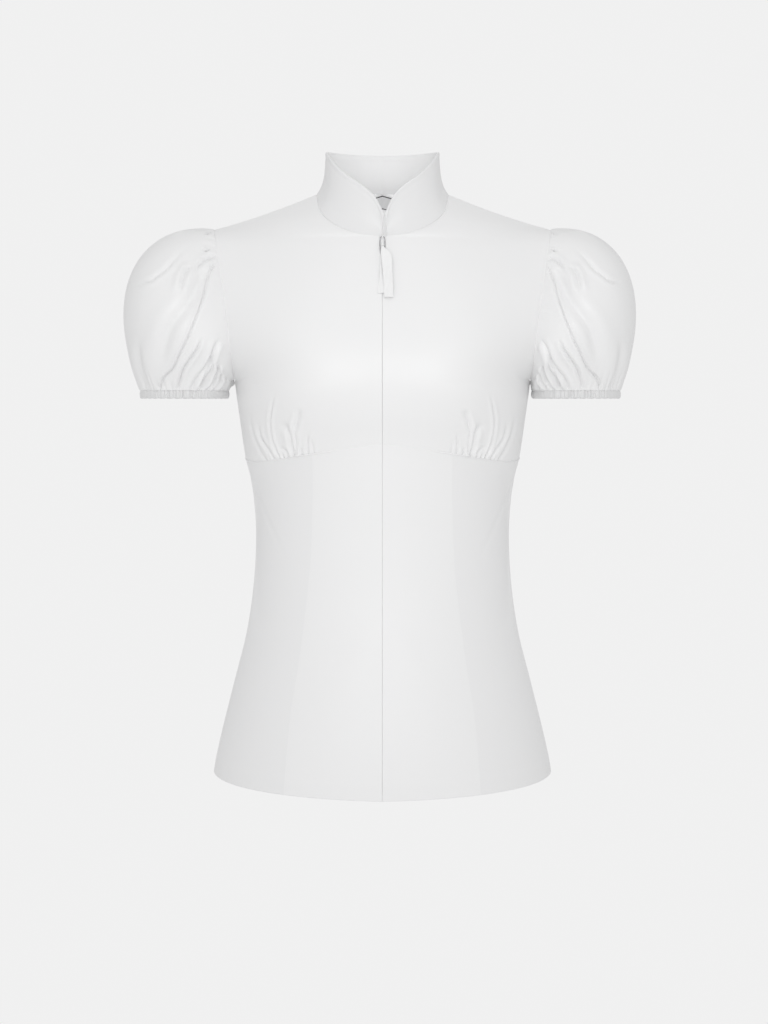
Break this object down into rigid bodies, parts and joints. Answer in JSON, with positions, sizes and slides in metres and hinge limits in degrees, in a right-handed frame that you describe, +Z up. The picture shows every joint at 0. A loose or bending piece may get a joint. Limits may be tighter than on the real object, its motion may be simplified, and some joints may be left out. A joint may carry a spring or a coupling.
{
  "type": "blouse",
  "caption": "White satin top with a stand collar, short puff sleeves, a gathered under-bust seam and a concealed front zip with a ribbon pull, filled out as worn.",
  "frame": {"origin": "middle of the neck opening, level with the neck ends of the shoulder seams", "axes": "+Z up towards the collar, -Y out of the front with the zip, +X to the wearer's left"},
  "size_m": [0.5129, 0.238, 0.6278],
  "materials": {
    "satin": "white polyester satin, softly shiny",
    "tape": "white woven zip tape with a nylon coil",
    "metal": "bright nickel plate",
    "ribbon": "white satin ribbon",
    "label": "blank woven label"
  },
  "bodies": {
    "garment": {"front_bust_left": "satin", "front_bust_right": "satin", "front_centre_left": "satin", "front_centre_right": "satin", "front_side_left": "satin", "front_side_right": "satin", "back": "satin", "sleeve_left": "satin", "sleeve_right": "satin", "cuff_left": "satin", "cuff_right": "satin", "collar": "satin", "zip_tape": "tape", "label": "label", "zip_slider": "metal"},
    "pull": {"pull_loop": "metal", "pull_ribbon": "ribbon"}
  },
  "joints": [
    {"name": "pull_hinge", "type": "hinge", "parent": "garment", "child": "pull", "pos_m": [0, -0.06233, -0.04576], "axis": [-1, 0, 0], "range_deg": [0, 140]}
  ]
}
